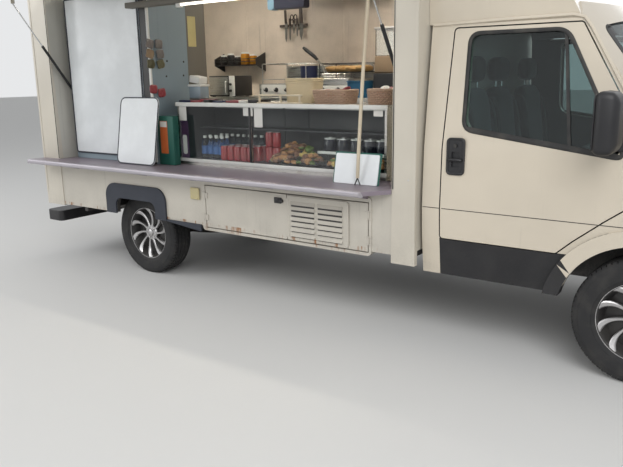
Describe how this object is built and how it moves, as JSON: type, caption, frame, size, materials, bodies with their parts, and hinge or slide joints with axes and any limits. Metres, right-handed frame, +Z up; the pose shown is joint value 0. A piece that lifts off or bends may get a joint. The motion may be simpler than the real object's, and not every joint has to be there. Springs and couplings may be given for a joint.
{
  "type": "food truck",
  "caption": "Van chassis cab with a catering box body, serving hatch on struts, counter, kitchen and working doors and wheels.",
  "frame": {"origin": "middle of the footprint, on the ground", "axes": "+X forward, +Y to the vehicle's left, +Z up"},
  "size_m": [5.955, 3.616, 2.77],
  "materials": {
    "body_paint": "gloss",
    "box_skin": "satin",
    "dark_trim": "matte",
    "grille_plastic": "satin",
    "lamp": "clear",
    "lamp_red": "gloss",
    "window_glass": "clear",
    "tyre": "matte",
    "chassis_paint": "matte",
    "cast": "rough",
    "steel": "brushed",
    "floor_mat": "matte",
    "seat_fabric": "woven",
    "dash_plastic": "grained",
    "counter_top": "satin",
    "cabinet_face": "satin",
    "board": "matte",
    "strut": "gloss",
    "chrome": "polished"
  },
  "bodies": {
    "root": {"chassis_frame": "chassis_paint", "front_suspension": "chassis_paint", "rear_axle": "chassis_paint", "engine_block": "cast", "fuel_tank": "dark_trim", "exhaust": "steel", "cab_body": "body_paint", "cab_floor": "floor_mat", "windscreen": "window_glass", "front_bumper": "dark_trim", "grille": "grille_plastic", "headlamps": "lamp", "dashboard": "dash_plastic", "seats": "seat_fabric", "overcab_fairing": "body_paint", "box_floor": "steel", "left_wall": "box_skin", "side_panel": "box_skin", "opening_frame": "box_skin", "front_wall": "box_skin", "rear_wall": "box_skin", "roof": "box_skin", "counter": "counter_top", "display_case": "steel", "display_glass": "window_glass", "tall_cabinet": "cabinet_face", "back_worktop": "steel", "cooking_range": "steel", "extractor_hood": "steel", "menu_boards": "board", "arch_trims": "dark_trim", "rear_bumper": "dark_trim", "rear_lamps": "lamp_red", "hatch_pole": "chrome", "locker_box": "box_skin", "wall_shelf": "board"},
    "cab_door_left": {"cab_door_left": "body_paint", "door_glass_left": "window_glass", "mirror_left": "dark_trim"},
    "cab_door_right": {"cab_door_right": "body_paint", "door_glass_right": "window_glass", "mirror_right": "dark_trim"},
    "bonnet": {"bonnet": "body_paint"},
    "hatch": {"hatch": "box_skin"},
    "strut_tube_front": {"strut_tube_front": "strut"},
    "strut_rod_front": {"strut_rod_front": "chrome"},
    "strut_tube_rear": {"strut_tube_rear": "strut"},
    "strut_rod_rear": {"strut_rod_rear": "chrome"},
    "locker_door_rear": {"locker_door_rear": "box_skin"},
    "locker_door_front": {"locker_door_front": "box_skin"},
    "rear_door": {"rear_door": "box_skin"},
    "knuckle_left": {"knuckle_left": "cast"},
    "knuckle_right": {"knuckle_right": "cast"},
    "steering_wheel": {"steering_wheel": "dash_plastic"},
    "wheel_front_left": {"wheel_front_left": "tyre"},
    "wheel_front_right": {"wheel_front_right": "tyre"},
    "wheel_rear_left": {"wheel_rear_left": "tyre"},
    "wheel_rear_right": {"wheel_rear_right": "tyre"}
  },
  "joints": [
    {"name": "hatch_hinge", "type": "hinge", "parent": "root", "child": "hatch", "pos_m": [2.0525, -0.467, 2.276], "axis": [1, 0, 0], "range_deg": [0, 90]},
    {"name": "strut_tube_front_pivot", "type": "hinge", "parent": "root", "child": "strut_tube_front", "pos_m": [0.6375, -0.237, 1.417], "axis": [1, 0, 0], "range_deg": [-22.04, 1]},
    {"name": "strut_rod_front_slide", "type": "slide", "parent": "strut_tube_front", "child": "strut_rod_front", "axis": [0, -0.5757, 0.8177], "range_m": [-0.3729, 0.001]},
    {"name": "strut_tube_rear_pivot", "type": "hinge", "parent": "root", "child": "strut_tube_rear", "pos_m": [-2.5615, -0.237, 1.417], "axis": [1, 0, 0], "range_deg": [-22.04, 1]},
    {"name": "strut_rod_rear_slide", "type": "slide", "parent": "strut_tube_rear", "child": "strut_rod_rear", "axis": [0, -0.5757, 0.8177], "range_m": [-0.3729, 0.001]},
    {"name": "cab_door_left_hinge", "type": "hinge", "parent": "root", "child": "cab_door_left", "pos_m": [1.9885, 1.529, 1], "axis": [0, 0, -1], "range_deg": [0, 65]},
    {"name": "cab_door_right_hinge", "type": "hinge", "parent": "root", "child": "cab_door_right", "pos_m": [1.9885, -0.403, 1], "axis": [0, 0, 1], "range_deg": [0, 65]},
    {"name": "bonnet_hinge", "type": "hinge", "parent": "root", "child": "bonnet", "pos_m": [2.3485, 0.563, 1.198], "axis": [0, -1, 0], "range_deg": [0, 50]},
    {"name": "locker_door_rear_hinge", "type": "hinge", "parent": "root", "child": "locker_door_rear", "pos_m": [-0.8695, -0.472, 0.59], "axis": [0, 0, -1], "range_deg": [0, 95]},
    {"name": "locker_door_front_hinge", "type": "hinge", "parent": "root", "child": "locker_door_front", "pos_m": [0.5115, -0.472, 0.59], "axis": [0, 0, 1], "range_deg": [0, 95]},
    {"name": "rear_door_hinge", "type": "hinge", "parent": "root", "child": "rear_door", "pos_m": [-2.8355, 0.9265, 0.9], "axis": [0, 0, -1], "range_deg": [0, 100]},
    {"name": "steer_left", "type": "hinge", "parent": "root", "child": "knuckle_left", "pos_m": [2.0525, 1.253, 0.336], "axis": [0, 0, 1], "range_deg": [-35, 35]},
    {"name": "steer_right", "type": "hinge", "parent": "root", "child": "knuckle_right", "pos_m": [2.0525, -0.127, 0.336], "axis": [0, 0, 1], "range_deg": [-35, 35]},
    {"name": "steering_wheel_turn", "type": "hinge", "parent": "root", "child": "steering_wheel", "pos_m": [1.5825, 0.963, 1.19], "axis": [-0.8192, 0, 0.5736], "range_deg": [-540, 540]},
    {"name": "wheel_front_left_spin", "type": "hinge", "parent": "knuckle_left", "child": "wheel_front_left", "pos_m": [2.0525, 1.428, 0.336], "axis": [0, 1, 0], "continuous": true},
    {"name": "wheel_front_right_spin", "type": "hinge", "parent": "knuckle_right", "child": "wheel_front_right", "pos_m": [2.0525, -0.302, 0.336], "axis": [0, 1, 0], "continuous": true},
    {"name": "wheel_rear_left_spin", "type": "hinge", "parent": "root", "child": "wheel_rear_left", "pos_m": [-1.6975, 1.363, 0.336], "axis": [0, 1, 0], "continuous": true},
    {"name": "wheel_rear_right_spin", "type": "hinge", "parent": "root", "child": "wheel_rear_right", "pos_m": [-1.6975, -0.237, 0.336], "axis": [0, 1, 0], "continuous": true}
  ],
  "couplings": [
    {"joint": "strut_tube_front_pivot", "follows": "hatch_hinge", "ratio": -0.23375},
    {"joint": "strut_rod_front_slide", "follows": "hatch_hinge", "m_per_rad": -0.23679},
    {"joint": "strut_tube_rear_pivot", "follows": "hatch_hinge", "ratio": -0.23375},
    {"joint": "strut_rod_rear_slide", "follows": "hatch_hinge", "m_per_rad": -0.23679},
    {"joint": "steer_right", "follows": "steer_left", "ratio": 1},
    {"joint": "steering_wheel_turn", "follows": "steer_left", "ratio": 15}
  ]
}
